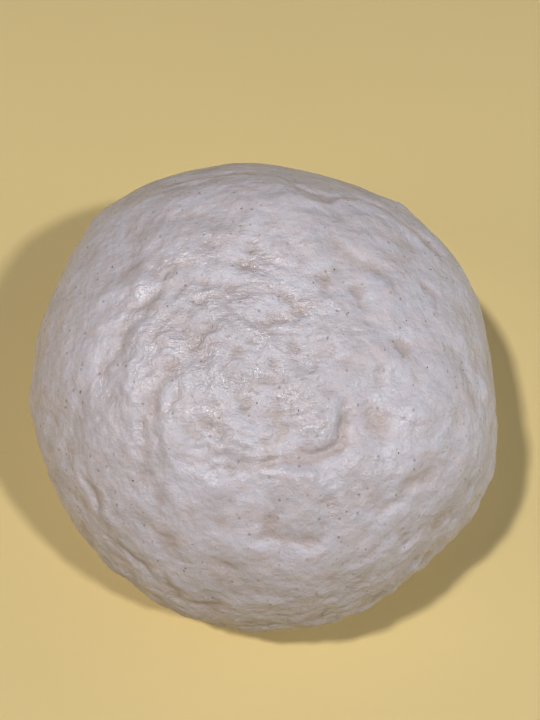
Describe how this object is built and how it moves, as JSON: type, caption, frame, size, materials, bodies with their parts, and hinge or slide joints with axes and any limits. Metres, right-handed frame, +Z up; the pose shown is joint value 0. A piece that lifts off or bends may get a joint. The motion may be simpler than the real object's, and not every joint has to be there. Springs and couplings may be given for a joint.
{
  "type": "raw bread dough ball",
  "caption": "Ball of raw bread dough, kneaded and rounded by hand, with a wrinkled, folded skin stretched over the crown and a flat foot to rest on.",
  "frame": {"origin": "middle of the bounding box's lowest face, on the flat foot that the dough rests on", "axes": "+Z up through the crown, +X to the ball's right and +Y to its far side, as seen by someone standing in front of it and looking down"},
  "size_m": [0.135, 0.1398, 0.0787],
  "materials": {
    "dough": "satin"
  },
  "bodies": {
    "root": {"dough_ball": "dough"}
  },
  "joints": []
}
